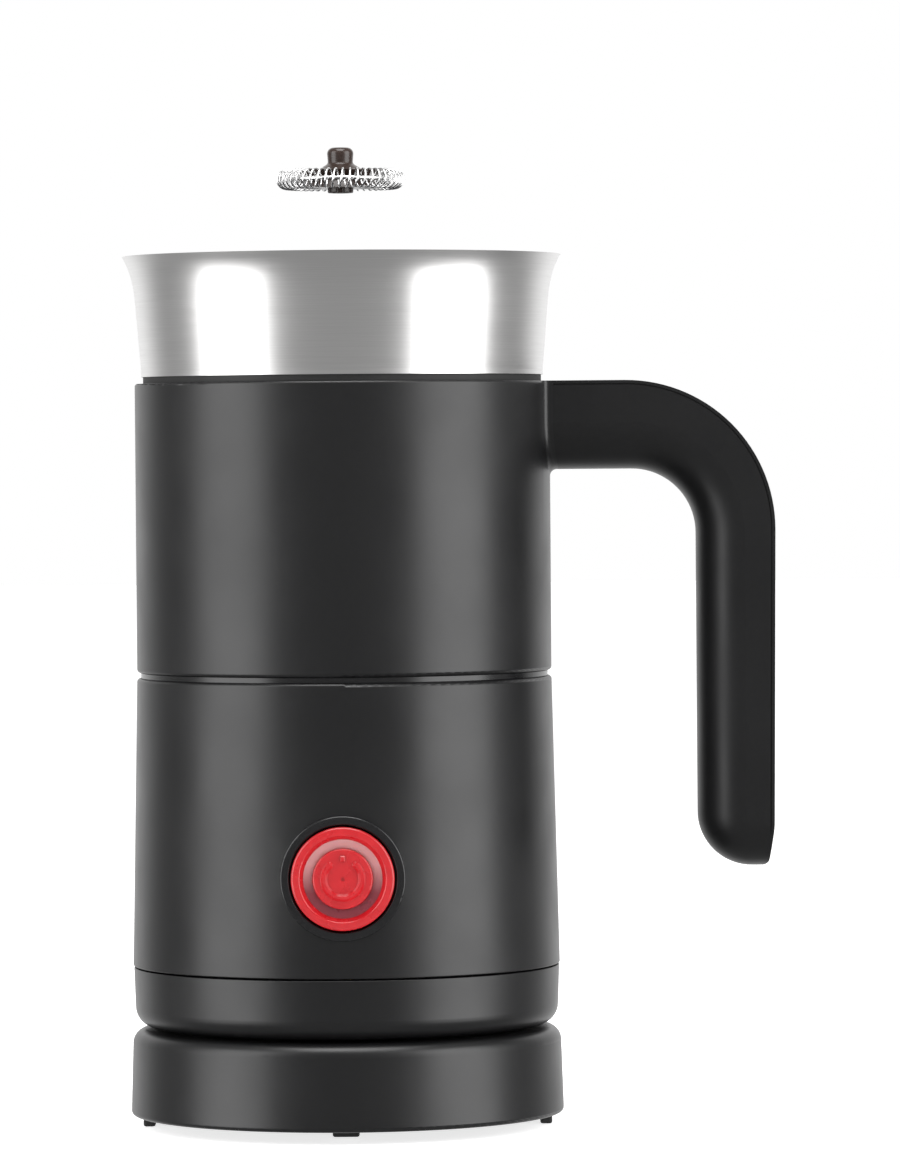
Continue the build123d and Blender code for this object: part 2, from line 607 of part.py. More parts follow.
def motor_bush():
    return tube(BUSH_RADIUS, SHAFT_RADIUS + RUNNING, MOTOR_TOP_Z - 4.9, MOTOR_TOP_Z + MOTOR_BOSS)


def motor_mount():
    """Rubber-damped plate between the motor and the chassis."""
    plate = tube(MOTOR_RADIUS + 1.5, MOTOR_BOSS_RADIUS + 0.3, MOTOR_TOP_Z + SNUG, CHASSIS_UNDER_Z - SNUG)
    for side in (-1, 1):
        x = side * MOTOR_SCREW_CIRCLE
        plate -= peg(MOTOR_SCREW_RADIUS + 0.25, MOTOR_TOP_Z - 1, CHASSIS_UNDER_Z + 1, x)
    return plate


def motor_screws():
    """Two screws from the chassis down into the motor's face."""
    screws = []
    for side in (-1, 1):
        x = side * MOTOR_SCREW_CIRCLE
        head = peg(2.2, CHASSIS_TOP_Z, CHASSIS_TOP_Z + SCREW_HEAD, x)
        slot = Pos(x, 0, CHASSIS_TOP_Z + SCREW_HEAD) * Box(3.2, 0.6, 0.9)
        screws.append(head + peg(MOTOR_SCREW_RADIUS, MOTOR_TOP_Z - 3.5, CHASSIS_TOP_Z, x) - slot)
    return together(screws)


def motor_shaft():
    return turned([
        (0, MOTOR_UNDER_Z + 6.4), (SHAFT_RADIUS, MOTOR_UNDER_Z + 6.4),
        (SHAFT_RADIUS, CARRIER_TOP_Z - 1.2, 0.3), (0, CARRIER_TOP_Z - 1.2),
    ])


def magnet_places():
    for index in range(MAGNET_COUNT):
        yield around(45 + 360 / MAGNET_COUNT * index, MAGNET_CIRCLE)


def magnet_carrier():
    carrier = turned([
        (SHAFT_RADIUS, CARRIER_UNDER_Z - 2.5), (SHAFT_RADIUS + 2.2, CARRIER_UNDER_Z - 2.5),
        (SHAFT_RADIUS + 2.2, CARRIER_UNDER_Z), (CARRIER_RADIUS, CARRIER_UNDER_Z, 0.6),
        (CARRIER_RADIUS, CARRIER_TOP_Z, 0.6), (0, CARRIER_TOP_Z), (0, CARRIER_TOP_Z - 1.2),
        (SHAFT_RADIUS, CARRIER_TOP_Z - 1.2),
    ])
    for x, y in magnet_places():
        carrier -= peg(MAGNET_RADIUS + SNUG, CARRIER_TOP_Z - MAGNET_THICK - SNUG, CARRIER_TOP_Z + 1, x, y)
    return carrier


def drive_magnets():
    bottom = CARRIER_TOP_Z - MAGNET_THICK
    return together(peg(MAGNET_RADIUS, bottom, CARRIER_TOP_Z - 0.1, x, y) for x, y in magnet_places())


# ---------------------------------------------------------------- boards
def control_board():
    """Round board with notches for the casing's bosses and a straight front edge."""
    board = tube(CONTROL_BOARD_RADIUS, 0, CONTROL_BOARD_Z, CONTROL_BOARD_Z + BOARD_THICK)
    front_edge = FRONT_BOARD_FACE - BOARD_THICK - 0.8
    cut = 20.0
    board -= Pos(0, -front_edge - cut / 2, CONTROL_BOARD_Z) * Box(FRONT_BOARD_WIDTH + 4, cut, 10)
    for angle in BODY_SCREW_ANGLES:
        x, y = around(angle, BODY_SCREW_CIRCLE)
        board -= peg(BOSS_RADIUS + 0.6, CONTROL_BOARD_Z - 1, CONTROL_BOARD_Z + BOARD_THICK + 1, x, y)
    for angle in BOARD_SCREW_ANGLES:
        x, y = around(angle, BOARD_SCREW_CIRCLE)
        board -= peg(BOARD_SCREW_RADIUS + 0.3, CONTROL_BOARD_Z - 1, CONTROL_BOARD_Z + 3, x, y)
    return board


def board_screws():
    """Four screws from below the control board into the chassis posts."""
    screws = []
    for angle in BOARD_SCREW_ANGLES:
        x, y = around(angle, BOARD_SCREW_CIRCLE)
        head = peg(2.3, CONTROL_BOARD_Z - SCREW_HEAD, CONTROL_BOARD_Z, x, y)
        shank = peg(BOARD_SCREW_RADIUS, CONTROL_BOARD_Z, CONTROL_BOARD_Z + 8, x, y)
        slot = Pos(x, y, CONTROL_BOARD_Z - SCREW_HEAD) * Box(3.4, 0.6, 0.9)
        screws.append(head + shank - slot)
    return together(screws)


def capacitor():
    can = turned([
        (0, 0), (CAPACITOR_RADIUS, 0, 0.4), (CAPACITOR_RADIUS, CAPACITOR_HEIGHT, 0.6),
        (0, CAPACITOR_HEIGHT),
    ])
    can -= Pos(0, 0, CAPACITOR_HEIGHT) * Box(2 * CAPACITOR_RADIUS - 3, 0.5, 0.5)
    can -= Pos(0, 0, CAPACITOR_HEIGHT) * Box(0.5, 2 * CAPACITOR_RADIUS - 3, 0.5)
    return Pos(*CAPACITOR_PLACE, CONTROL_BOARD_Z + BOARD_THICK) * can


def relay():
    body = Box(*RELAY_SIZE)
    body = fillet(body.edges(), 0.5)
    return Pos(*RELAY_PLACE, CONTROL_BOARD_Z + BOARD_THICK + RELAY_SIZE[2] / 2) * body


# ---------------------------------------------------------------- start button
CASING_AT_BUTTON = casing_radius(BUTTON_Z)
BEZEL_FRONT = CASING_AT_BUTTON + BEZEL_PROUD
CAP_FRONT = BEZEL_FRONT + CAP_PROUD
CAP_BACK = CAP_FRONT - CAP_THICK
PAD_FRONT = CAP_FRONT - PAD_DROP
CAP_CLEARANCE = 0.4
COLLAR_BACK = CAP_BACK - 0.8   # plunger collar that the spring pushes on
BEZEL_BACK = CASING_AT_BUTTON - BEZEL_DEPTH
GUIDE_FRONT = BEZEL_BACK + GUIDE_THICK
SWITCH_FRONT = BEZEL_BACK - 1.0
FRONT_BOARD_FACE = SWITCH_FRONT - SWITCH_HEIGHT


def button_bezel():
    """Ring round the button, with a plate behind it that guides the plunger."""
    bore = CAP_RADIUS + CAP_CLEARANCE
    neck = CASING_AT_BUTTON - 3.2
    ring = turned([
        (bore, BEZEL_BACK), (BEZEL_BODY_RADIUS, BEZEL_BACK), (BEZEL_BODY_RADIUS, neck),
        (BEZEL_RADIUS, neck), (BEZEL_RADIUS, BEZEL_FRONT, 0.45), (bore, BEZEL_FRONT, 0.45),
    ])
    guide = tube(bore + 0.5, PLUNGER_RADIUS + 0.35, BEZEL_BACK, GUIDE_FRONT)
    bezel = facing_front(ring + guide)
    # the flange behind the ring's front follows the casing's round wall
    low = BUTTON_Z - BEZEL_RADIUS - 1
    high = BUTTON_Z + BEZEL_RADIUS + 1
    wall = turned([
        (BODY_RADIUS - 12, low), (casing_radius(low) + SNUG, low),
        (casing_radius(high) + SNUG, high), (BODY_RADIUS - 12, high),
    ])
    flange = facing_front(tube(BEZEL_RADIUS + 1, BEZEL_BODY_RADIUS, 20, BEZEL_FRONT + 1))
    return bezel - (wall & flange)


def power_symbol():
    """Raised power sign with sloping sides: an open ring and a short tick in its opening."""
    base, top = PAD_FRONT, PAD_FRONT + SYMBOL_RAISE
    wide, narrow = SYMBOL_STROKE / 2 + SYMBOL_SLOPE, SYMBOL_STROKE / 2 - SYMBOL_SLOPE
    ring = turned([
        (SYMBOL_RADIUS - wide, base - 0.5), (SYMBOL_RADIUS - wide, base), (SYMBOL_RADIUS - narrow, top),
        (SYMBOL_RADIUS + narrow, top), (SYMBOL_RADIUS + wide, base), (SYMBOL_RADIUS + wide, base - 0.5),
    ])
    reach = SYMBOL_RADIUS + 2 * SYMBOL_STROKE
    half = reach * sin(radians(SYMBOL_GAP)) / cos(radians(SYMBOL_GAP))
    sign = ring - extrude(outline([(0, 0), (half, reach), (-half, reach)], Plane.XY), top + 5)
    x, y = around(90 - SYMBOL_GAP, SYMBOL_RADIUS)
    for side in (-1, 1):
        end = Pos(0, 0, (base + top) / 2) * Cone(wide, narrow, SYMBOL_RAISE) + peg(wide, base - 0.5, base)
        sign += Pos(side * x, y) * end
    tick = Pos(0, SYMBOL_RADIUS + 0.3, (base - 0.5 + top) / 2) * Box(1.1, 1.3, SYMBOL_RAISE + 0.5)
    return sign + chamfer(tick.faces().sort_by(Axis.Z)[-1].edges(), SYMBOL_SLOPE)


def button_cap():
    """Red cap: a rounded rim, a sloping groove for the light ring and a pad with the symbol."""
    groove_floor = CAP_FRONT - GROOVE_DEPTH
    cap = turned([
        (0, CAP_BACK), (CAP_RADIUS, CAP_BACK), (CAP_RADIUS, CAP_FRONT - 0.2, CAP_EDGE),
        (GROOVE_OUTER + GROOVE_SLOPE, CAP_FRONT - 0.1, 0.4),
        (GROOVE_OUTER, groove_floor + LIGHT_RING_THICK), (GROOVE_OUTER, groove_floor),
        (GROOVE_INNER, groove_floor),
        (GROOVE_INNER, PAD_FRONT, 0.5), (0, PAD_FRONT),
    ])
    cap += power_symbol()
    cap -= peg(DIMPLE_RADIUS, PAD_FRONT - 0.3, PAD_FRONT + 1)
    return facing_front(cap)


def button_light_ring():
    bottom = CAP_FRONT - GROOVE_DEPTH
    return facing_front(turned([
        (GROOVE_INNER + 0.02, bottom), (GROOVE_OUTER - 0.02, bottom),
        (GROOVE_OUTER - 0.02, bottom + LIGHT_RING_THICK),
        (GROOVE_INNER + 0.02, bottom + LIGHT_RING_THICK - 0.4),
    ]))


def button_plunger():
    stem = peg(PLUNGER_RADIUS, SWITCH_FRONT + 0.1 + PRESS_TRAVEL, CAP_BACK)
    collar = peg(SPRING_RADIUS + 0.8, COLLAR_BACK, CAP_BACK)
    return facing_front(stem + collar)


def button_spring():
    """Compression spring between the bezel's guide and the plunger's collar."""
    bottom = GUIDE_FRONT + SPRING_WIRE + 0.05
    top = COLLAR_BACK - SPRING_WIRE - 0.05
    coil_radius = SPRING_RADIUS - SPRING_WIRE
    path = Helix((top - bottom) / SPRING_TURNS, top - bottom, coil_radius)
    section = Plane(origin=path @ 0, z_dir=path % 0) * Circle(SPRING_WIRE)
    spring = Pos(0, 0, bottom) * sweep(section, path=path, is_frenet=True)
    return facing_front(spring)


def front_board():
    board = Box(FRONT_BOARD_WIDTH, FRONT_BOARD_HEIGHT, BOARD_THICK)
    board = Pos(0, 0, FRONT_BOARD_FACE - BOARD_THICK / 2) * board
    return facing_front(fillet(board.edges().filter_by(Axis.Z), 1.5))


def tactile_switch():
    height = SWITCH_HEIGHT - 0.9
    body = Pos(0, 0, FRONT_BOARD_FACE + height / 2) * Box(SWITCH_SIZE, SWITCH_SIZE, height)
    return facing_front(body + peg(1.7, FRONT_BOARD_FACE + 1, SWITCH_FRONT))


def status_leds():
    """Two lamps behind the button's light ring."""
    base = FRONT_BOARD_FACE
    led = turned([(0, base), (1.5, base), (1.5, base + 2.2, 0.9), (0, base + 2.2)])
    mid_ring = (GROOVE_INNER + GROOVE_OUTER) / 2
    return together(facing_front(Pos(side * mid_ring, 0, 0) * led) for side in (-1, 1))


# ---------------------------------------------------------------- jug, collar and upper casing
def flared_sheet(start, rim, thick, start_slope):
    """Turned sheet that curves out from a start to the rim, given its outer line."""
    inner_start = (start[0] - thick, start[1])
    inner_rim = (rim[0] - thick, rim[1])
    edges = [
        Spline(start, rim, tangents=[(start_slope, 1), (RIM_SLOPE, 1)]),
        Line(rim, inner_rim),
        Spline(inner_rim, inner_start, tangents=[(-RIM_SLOPE, -1), (-start_slope, -1)]),
        Line(inner_start, start),
    ]
    return revolve(Plane.XZ * make_face(edges), Axis.Z)


def steel_collar():
    """Visible steel band: a slightly tapered foot that flares to the pouring rim."""
    foot, waist = COLLAR_FOOT_RADIUS, COLLAR_FLARE_RADIUS
    slope = (waist - foot) / (COLLAR_FLARE_Z - COLLAR_BOTTOM_Z)
    band = turned([
        (foot - SHEET, COLLAR_BOTTOM_Z), (foot, COLLAR_BOTTOM_Z), (waist, COLLAR_FLARE_Z),
        (waist - SHEET, COLLAR_FLARE_Z),
    ])
    flare = flared_sheet((waist, COLLAR_FLARE_Z), (RIM_RADIUS, RIM_Z), SHEET, slope)
    lip = tube(foot + 0.1, foot - SHEET, COLLAR_BOTTOM_Z, COLLAR_BOTTOM_Z + 1.1)
    return band + flare + lip


def jug_liner():
    """Deep-drawn inner jug whose mouth flares inside the collar, with three level marks."""
    outer = JUG_RADIUS + SHEET
    pot = turned([
        (0, FLOOR_UNDER_Z), (outer, FLOOR_UNDER_Z, JUG_CORNER + SHEET), (outer, MOUTH_Z),
        (JUG_RADIUS, MOUTH_Z), (JUG_RADIUS, JUG_FLOOR_Z, JUG_CORNER), (0, JUG_FLOOR_Z),
    ])
    liner = pot + flared_sheet((outer, MOUTH_Z), (RIM_RADIUS - SHEET - MOUTH_GAP, RIM_Z), SHEET, 0)
    for level in LEVEL_MARKS:
        mark = revolve(outline([
            (JUG_RADIUS - 0.35, level - 0.35), (JUG_RADIUS + 0.3, level - 0.35),
            (JUG_RADIUS + 0.3, level + 0.35), (JUG_RADIUS - 0.35, level + 0.35),
        ]), Axis.Z, LEVEL_MARK_ARC)
        liner += Rotation(Z=180 - LEVEL_MARK_ARC / 2) * mark
    return liner


def whisk_spindle():
    top = JUG_FLOOR_Z + SPINDLE_HEIGHT
    return turned([
        (0, JUG_FLOOR_Z), (SPINDLE_FOOT_RADIUS, JUG_FLOOR_Z),
        (SPINDLE_FOOT_RADIUS, JUG_FLOOR_Z + SPINDLE_FOOT, 0.4),
        (SPINDLE_RADIUS, JUG_FLOOR_Z + SPINDLE_FOOT), (SPINDLE_RADIUS, top, 0.6), (0, top),
    ])


def collar_gasket():
    """Dark seal between the collar's foot and the upper casing."""
    inner = JUG_RADIUS + SHEET + 0.15
    seat = CASING_BORE_TOP - SNUG
    return turned([
        (inner, CASING_TOP_Z - 5), (seat, CASING_TOP_Z - 5), (seat, CASING_TOP_Z + SNUG),
        (GASKET_RADIUS, CASING_TOP_Z + SNUG), (GASKET_RADIUS, COLLAR_BOTTOM_Z - SNUG),
        (inner, COLLAR_BOTTOM_Z - SNUG),
    ])


# ---------------------------------------------------------------- handle
HALF_WIDTH = HANDLE_WIDTH / 2


def handle_profile(inset, outer_inset, start_x, tip_round=None):
    """Side outline of the hooked handle in the XZ plane.

    inset moves the inner edges in, outer_inset the outer ones.
    """
    top = CASING_TOP_Z - outer_inset
    outside = HANDLE_REACH - outer_inset
    under = ARM_UNDER_Z + inset
    inside = GRIP_INNER + inset
    bottom = HANDLE_BOTTOM_Z + inset
    tip = (outside - HANDLE_LEAN - HANDLE_TIP_SLOPE, bottom)
    if tip_round:
        tip = (*tip, tip_round)
    return outline([
        (start_x, top), (outside, top, HANDLE_OUTER_BEND - outer_inset),
        (outside - HANDLE_LEAN, bottom + HANDLE_TIP_LENGTH, 20), tip,
        (inside, bottom, HANDLE_TIP_BEND - inset), (inside, under, HANDLE_INNER_BEND + inset),
        (start_x, under),
    ])


def handle_bar(inset, outer_inset, start_x, half_width):
    return extrude(handle_profile(inset, outer_inset, start_x), half_width, both=True)


def inner_edges(bar, inset, half_width):
    """The long edges along a bar's inner side, where it meets its two flanks."""
    chosen = []
    for edge in bar.edges():
        middle = edge @ 0.5
        on_flank = abs(abs(middle.Y) - half_width) < 0.01
        under_arm = middle.X < GRIP_INNER + inset + 0.01 and middle.Z < ARM_UNDER_Z + inset + 0.01
        at_tip = middle.Z < HANDLE_BOTTOM_Z + inset + (HANDLE_TIP_BEND - inset) / 2
        at_tip = at_tip and middle.X < HANDLE_REACH - COVER_THICK - HANDLE_LEAN - HANDLE_TIP_SLOPE
        if on_flank and (under_arm or at_tip) and (edge @ 0 - edge @ 1).length > 0.1:
            chosen.append(edge)
    return chosen


def rounded_bar(start_x=40.0):
    """Whole handle with its cover: flat outside, rounded inside, blunt tip."""
    bar = fillet(inner_edges(handle_bar(0, 0, start_x, HALF_WIDTH), 0, HALF_WIDTH), GRIP_ROUND)
    blunt = handle_profile(-1, 0, start_x - 1, COVER_TIP_ROUND)
    blunt = Pos(0, 0, 1) * extrude(blunt, HALF_WIDTH + 1, both=True)
    tip_zone = Pos(HANDLE_REACH, 0, HANDLE_BOTTOM_Z) * Box(14, 4 * HALF_WIDTH, 14)
    return bar - (tip_zone - blunt)


def axis_cylinder(radius):
    return peg(radius, HANDLE_BOTTOM_Z - 20, CASING_TOP_Z + 20)


def behind_cover(grow):
    """Room taken by everything inside the cover strip, wider than the handle by grow."""
    return handle_bar(-grow, COVER_THICK, 40.0 - grow, HALF_WIDTH + grow)


def handle_grip():
    """Hollow D-section handle, open along its outside where the cover closes it."""
    cavity = handle_bar(GRIP_WALL, COVER_THICK, 40.0, HALF_WIDTH - GRIP_WALL)
    cavity = fillet(inner_edges(cavity, GRIP_WALL, HALF_WIDTH - GRIP_WALL), GRIP_ROUND - GRIP_WALL)
    cavity -= axis_cylinder(BODY_RADIUS + ROOT_STUB + 7)
    grip = (rounded_bar() & behind_cover(1)) - cavity - axis_cylinder(BODY_RADIUS + ROOT_STUB)
    for z in HANDLE_SCREW_ZS:
        grip -= Pos(BODY_RADIUS + 5, 0, z) * Rotation(Y=90) * Cylinder(1.3, 16)
    return grip


def handle_cover():
    """Thin strip that closes the outside of the handle from its root to its tip."""
    strip = rounded_bar() - behind_cover(1)
    seam = handle_bar(-2, COVER_THICK - COVER_SEAM, 39.0, HALF_WIDTH + 1)
    seam -= handle_bar(-3, COVER_THICK + 1, 38.0, HALF_WIDTH - COVER_SEAM_DEPTH)
    keep = Pos(HANDLE_REACH / 2, 0, CASING_TOP_Z / 2) * Box(
        HANDLE_REACH * 2, 2 * (HALF_WIDTH - COVER_SEAM_DEPTH), CASING_TOP_Z * 2)
    strip -= seam - keep
    return strip - axis_cylinder(BODY_RADIUS + ROOT_STUB)


def root_edges(shell):
    """Edges where the handle's root leaves the casing's round wall."""
    chosen = []
    for edge in shell.edges():
        spots = [edge @ share for share in (0, 0.25, 0.5, 0.75, 1)]
        on_wall = all(abs(sqrt(spot.X ** 2 + spot.Y ** 2) - BODY_RADIUS) < 0.02 for spot in spots)
        at_root = all(spot.X > 0 and abs(spot.Y) < HALF_WIDTH + 0.02 for spot in spots)
        above_under = all(spot.Z > ARM_UNDER_Z - 0.02 for spot in spots)
        below_top = (edge @ 0.5).Z < CASING_TOP_Z - 0.02
        if on_wall and at_root and above_under and below_top:
            chosen.append(edge)
    return chosen


def upper_casing():
    """Upper casing with the filleted root that the handle is screwed to."""
    wall = CASING_WALL
    shell = turned([
        (BODY_RADIUS - wall, UPPER_BOTTOM_Z), (BODY_RADIUS, UPPER_BOTTOM_Z, 0.9),
        (BODY_RADIUS, CASING_TOP_Z, CASING_EDGE), (BODY_RADIUS - wall, CASING_TOP_Z),
    ])
    root = rounded_bar()
    root = (root & axis_cylinder(BODY_RADIUS + ROOT_STUB)) - axis_cylinder(BODY_RADIUS - wall / 2)
    shell += root
    shell = fillet(root_edges(shell), ROOT_FILLET)
    for z in HANDLE_SCREW_ZS:
        shell -= Pos(BODY_RADIUS, 0, z) * Rotation(Y=90) * Cylinder(SCREW_RADIUS, 14)
        seat_depth = SCREW_HEAD + 0.6
        seat = Cone(SCREW_HEAD_RADIUS, SCREW_RADIUS, seat_depth)
        shell -= Pos(BODY_RADIUS - wall + seat_depth / 2 - 0.02, 0, z) * Rotation(Y=90) * seat
    return shell


def handle_screws():
    """Two countersunk screws from inside the casing into the handle's arm."""
    inside = BODY_RADIUS - CASING_WALL + 0.1
    screws = []
    for z in HANDLE_SCREW_ZS:
        head = Cone(SCREW_HEAD_RADIUS - 0.3, SCREW_RADIUS - 0.2, SCREW_HEAD)
        shank = Cylinder(SCREW_RADIUS - 0.25, 11)
        piece = Pos(inside + SCREW_HEAD / 2, 0, z) * Rotation(Y=90) * head
        piece += Pos(inside + 5.5, 0, z) * Rotation(Y=90) * shank
        screws.append(piece - Pos(inside, 0, z) * Box(0.9, 0.7, 3.4))
    return together(screws)


# ---------------------------------------------------------------- whisk
def whisk_hub():
    """Round hub with a finger knob above and a ribbed boss below."""
    z = WHISK_HELD_Z
    half = HUB_THICK / 2
    bore = WHISK_BUSH_RADIUS + RUNNING
    hub = turned([
        (0, z + half - 0.6), (bore, z + half - 0.6), (bore, z - FOOT_BOSS),
        (FOOT_BOSS_RADIUS, z - FOOT_BOSS, 0.3), (FOOT_BOSS_RADIUS, z - half),
        (HUB_RADIUS - 0.4, z - half), (HUB_RADIUS - 1.3, z - 0.5), (HUB_RADIUS - 1.3, z + 0.5),
        (HUB_RADIUS - 0.4, z + half), (KNOB_RADIUS + 1.6, z + half + 0.4),
        (KNOB_RADIUS - 0.3, z + half + 1.6, 0.8), (KNOB_RADIUS, z + KNOB_HEIGHT, 1.4),
        (0, z + KNOB_HEIGHT),
    ])
    for index in range(FOOT_RIBS):
        x, y = around(360 / FOOT_RIBS * (index + 0.5), FOOT_BOSS_RADIUS + 0.1)
        hub -= peg(0.35, z - FOOT_BOSS - 1, z - half, x, y)
    for x, y in whisk_magnet_places():
        roof = z - half + WHISK_MAGNET_THICK + SNUG + 0.4
        hub -= peg(WHISK_MAGNET_RADIUS + SNUG, z - half - 1, roof, x, y)
    for index in range(SPOKE_COUNT):
        hub -= Rotation(Z=spoke_angle(index)) * Pos(HUB_RADIUS - 1.3, 0, z) * Rotation(Y=90) * Cylinder(
            SPOKE_RADIUS + 0.02, 2.4)
    return hub


def whisk_magnet_places():
    for index in range(SPOKE_COUNT):
        yield around(360 / SPOKE_COUNT * index, WHISK_MAGNET_CIRCLE)


def spoke_angle(index):
    return 45 + 360 / SPOKE_COUNT * index


def whisk_magnets():
    bottom = WHISK_HELD_Z - HUB_THICK / 2 + 0.4
    top = bottom + WHISK_MAGNET_THICK
    return together(peg(WHISK_MAGNET_RADIUS, bottom, top, x, y) for x, y in whisk_magnet_places())


def ring_sector(section):
    """The share of a ring, turned about Z, that has one spoke in its middle."""
    share = 360 / SPOKE_COUNT
    sector = revolve(Plane.XZ * Pos(COIL_CIRCLE, WHISK_HELD_Z) * section, Axis.Z, share)
    return Rotation(Z=-share / 2) * sector


def ring_of(sector):
    """A whole ring from equal sectors, one about each spoke."""
    with SkipClean():
        ring = Rotation(Z=spoke_angle(0)) * sector
        for index in range(1, SPOKE_COUNT):
            ring += Rotation(Z=spoke_angle(index)) * sector
    return ring


def spoke_bar(radius, inner, outer):
    """A radial bar along +X at the coil's height."""
    return Pos((inner + outer) / 2, 0, WHISK_HELD_Z) * Rotation(Y=90) * Cylinder(radius, outer - inner)


def whisk_core_ring():
    """Round wire that the coil is threaded on, with spokes into the hub."""
    spoke = spoke_bar(SPOKE_RADIUS, HUB_RADIUS - 2.4, COIL_CIRCLE)
    return ring_of(ring_sector(Circle(CORE_WIRE_RADIUS)) + spoke)


def whisk_coil():
    """Outer form of the closed coil spring: a hollow ring as thick as its wire."""
    hole = spoke_bar(SPOKE_RADIUS + 0.1, COIL_CIRCLE - COIL_RADIUS - 1, COIL_CIRCLE)
    return ring_of(ring_sector(Circle(COIL_RADIUS) - Circle(COIL_RADIUS - COIL_WIRE)) - hole)


def whisk_bush():
    """Sleeve that the hub turns on, which slips over the jug's spindle."""
    z = WHISK_HELD_Z
    return turned([
        (SPINDLE_RADIUS + RUNNING, z - FOOT_BOSS + 0.3), (WHISK_BUSH_RADIUS, z - FOOT_BOSS + 0.3),
        (WHISK_BUSH_RADIUS, z + HUB_THICK / 2 - 0.9), (SPINDLE_RADIUS + RUNNING, z + HUB_THICK / 2 - 0.9),
    ])


# ---------------------------------------------------------------- all pieces
def all_pieces():
    pieces = {
        "base_shell": base_shell(),
        "base_plate": base_plate(),
        "cord_gland": cord_gland(),
        "terminal_block": terminal_block(),
        "base_connector": base_connector(),
        "base_contact_tube": contact_tube(),
        "base_contact_ring": contact_ring(),
        "swivel_ring": swivel_ring(),
        "body_skirt": skirt(),
        "coupler_socket": coupler_socket(),
        "coupler_pin": coupler_pin(),
        "coupler_ring": coupler_ring(),
        "lower_casing": lower_casing(),
        "casing_ring": casing_ring(),
        "heater_plate": heater_plate(),
        "heating_element": heating_element(),
        "thermostat": thermostat(),
        "thermal_fuse": thermal_fuse(),
        "heat_shield": heat_shield(),
        "chassis": chassis(),
        "motor_can": motor_can(),
        "motor_end_cap": motor_end_cap(),
        "motor_bush": motor_bush(),
        "motor_mount": motor_mount(),
        "motor_shaft": motor_shaft(),
        "magnet_carrier": magnet_carrier(),
        "control_board": control_board(),
        "capacitor": capacitor(),
        "relay": relay(),
        "button_bezel": button_bezel(),
        "button_cap": button_cap(),
        "button_light_ring": button_light_ring(),
        "button_plunger": button_plunger(),
        "button_spring": button_spring(),
        "front_board": front_board(),
        "tactile_switch": tactile_switch(),
        "steel_collar": steel_collar(),
        "jug_liner": jug_liner(),
        "whisk_spindle": whisk_spindle(),
        "collar_gasket": collar_gasket(),
        "upper_casing": upper_casing(),
        "handle_grip": handle_grip(),
        "handle_cover": handle_cover(),
        "whisk_hub": whisk_hub(),
        "whisk_core_ring": whisk_core_ring(),
        "whisk_coil": whisk_coil(),
        "whisk_bush": whisk_bush(),
        "base_screws": base_screws(),
        "body_screws": body_screws(),
        "motor_screws": motor_screws(),
        "drive_magnets": drive_magnets(),
        "board_screws": board_screws(),
        "status_leds": status_leds(),
        "handle_screws": handle_screws(),
        "whisk_magnets": whisk_magnets(),
    }
    for name, (angle, radius) in FEET.items():
        pieces[name] = base_foot(angle, radius)
    return pieces


def main():
    os.makedirs("parts", exist_ok=True)
    for name, shape in all_pieces().items():
        export_step(shape, f"parts/{name}.step")


main()
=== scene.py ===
import json
from math import cos, pi, radians, sin

import bpy
from mathutils import Matrix, Vector


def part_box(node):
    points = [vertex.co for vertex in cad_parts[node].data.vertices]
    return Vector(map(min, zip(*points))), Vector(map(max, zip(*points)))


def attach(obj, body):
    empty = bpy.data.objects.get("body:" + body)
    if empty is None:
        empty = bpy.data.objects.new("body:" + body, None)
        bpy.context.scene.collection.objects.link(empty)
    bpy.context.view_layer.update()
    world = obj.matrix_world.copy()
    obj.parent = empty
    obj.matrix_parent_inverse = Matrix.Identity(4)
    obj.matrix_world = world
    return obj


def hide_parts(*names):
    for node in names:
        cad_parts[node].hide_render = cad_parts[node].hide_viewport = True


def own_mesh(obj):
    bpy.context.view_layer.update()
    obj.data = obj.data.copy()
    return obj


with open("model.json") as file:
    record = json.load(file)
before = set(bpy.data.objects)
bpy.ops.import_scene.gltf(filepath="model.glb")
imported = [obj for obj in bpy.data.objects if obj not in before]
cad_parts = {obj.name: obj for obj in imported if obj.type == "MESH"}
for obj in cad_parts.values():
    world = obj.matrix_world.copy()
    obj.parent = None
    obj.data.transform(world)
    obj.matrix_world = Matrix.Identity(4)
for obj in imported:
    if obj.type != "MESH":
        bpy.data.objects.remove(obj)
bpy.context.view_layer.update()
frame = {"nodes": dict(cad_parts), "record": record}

MM = 0.001

# ---------------------------------------------------------------- camera and light
CAMERA_PLACE = (0.0241, -1.550, 0.1546)
CAMERA_DOWN = 1.219           # degrees
CAMERA_ROLL = -0.45           # degrees
CAMERA_LENS = 209.2           # millimetres
CAMERA_SENSOR = 36            # millimetres
SOFTBOX_AWAY = 1.0            # metres from the object's axis
SOFTBOX_RISE = 0.30           # height of a soft light's middle
SOFTBOX_HEIGHT = 1.30
SOFTBOX_AIM = (0, 0, 0.20)
SOFTBOXES = {                 # degrees from the front, width, radiance
    "left": (-63, 0.76, 3.5),
    "right": (64, 0.80, 4.0),
}
TOP_PLACE = (0.0, -0.30, 1.20)
TOP_AIM = (0, 0, 0.1)
TOP_SIZE = 0.8
TOP_RADIANCE = 6.0
FRONT_GREY = 0.33             # world strength towards the front
BACK_WHITE = 1.15             # world strength behind the object
GREY_FROM = 0.45              # where the grey ends, from -1 at the front to 1 at the back
WHITE_FROM = 0.9              # where the white begins, on the same scale
FLOOR_RADIUS = 6.0
FLOOR_SIDES = 96
FLOOR_GLOW = 0.75

# ---------------------------------------------------------------- whisk coil
COIL_TURNS = 49
COIL_WIRE = 0.22 * MM         # radius
STEPS_PER_TURN = 22
COIL_STEPS = COIL_TURNS * STEPS_PER_TURN
WIRE_SIDES = 8

